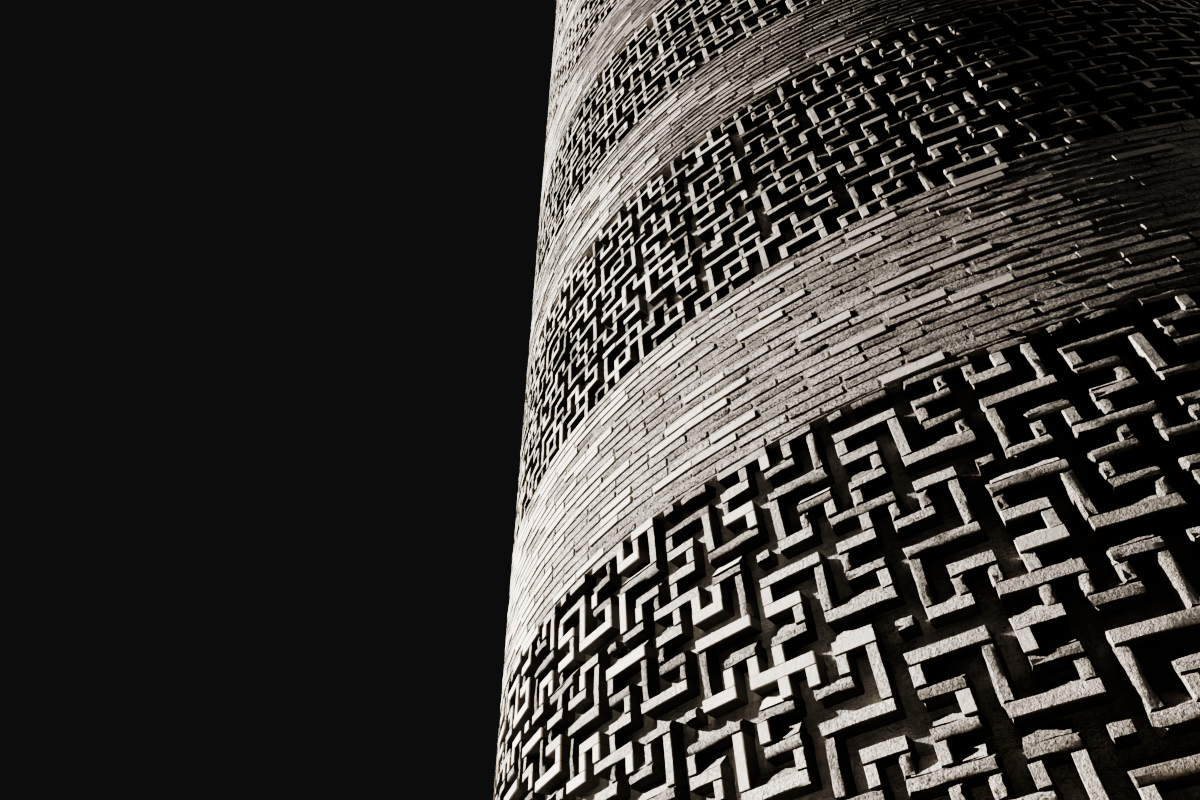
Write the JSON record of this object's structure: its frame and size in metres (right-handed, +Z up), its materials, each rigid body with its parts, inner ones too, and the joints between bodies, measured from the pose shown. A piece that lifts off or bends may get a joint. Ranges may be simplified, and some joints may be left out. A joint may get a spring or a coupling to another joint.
{
  "type": "brick minaret",
  "caption": "Round tapering brick minaret on an octagonal plinth, with bands of raised brick fret between plain courses, a stair well and an open domed lantern.",
  "frame": {"origin": "on the ground under the tower's vertical axis, at the middle of the podium's underside", "axes": "+Z up along the tower's axis; -Y towards the side seen in the picture; the doorway opens to +Y; +X to the right seen from -Y"},
  "size_m": [12.3, 12.3, 27.2143],
  "materials": {
    "facing_brick": "matte",
    "fret_brick": "matte",
    "core_brick": "matte",
    "plinth_brick": "matte",
    "paving_brick": "matte"
  },
  "bodies": {
    "root": {"cornice": "facing_brick", "dome": "facing_brick", "door_jamb_east": "core_brick", "door_jamb_west": "core_brick", "door_surround": "facing_brick", "doorway_vault": "core_brick", "fret_band_1": "fret_brick", "fret_band_2": "fret_brick", "fret_band_3": "fret_brick", "fret_band_4": "fret_brick", "fret_band_5": "fret_brick", "fret_band_6": "fret_brick", "frieze_band": "fret_brick", "gallery_floor": "paving_brick", "lantern_arcade": "facing_brick", "lantern_cornice": "facing_brick", "lantern_pier_1": "facing_brick", "lantern_pier_2": "facing_brick", "lantern_pier_3": "facing_brick", "lantern_pier_4": "facing_brick", "lantern_pier_5": "facing_brick", "lantern_pier_6": "facing_brick", "lantern_pier_7": "facing_brick", "lantern_pier_8": "facing_brick", "plain_band_1": "facing_brick", "plain_band_2": "facing_brick", "plain_band_3": "facing_brick", "plain_band_4": "facing_brick", "plain_band_5": "facing_brick", "plain_band_6": "facing_brick", "plain_band_7": "facing_brick", "plain_band_foot": "facing_brick", "plinth": "plinth_brick", "plinth_coping": "plinth_brick", "podium": "plinth_brick", "shaft_foot": "core_brick", "shaft_wall_1": "core_brick", "shaft_wall_2": "core_brick", "shaft_wall_3": "core_brick", "shaft_wall_4": "core_brick", "shaft_wall_5": "core_brick", "shaft_wall_6": "core_brick", "shaft_wall_7": "core_brick", "shaft_wall_8": "core_brick", "well_floor": "paving_brick"}
  },
  "joints": []
}
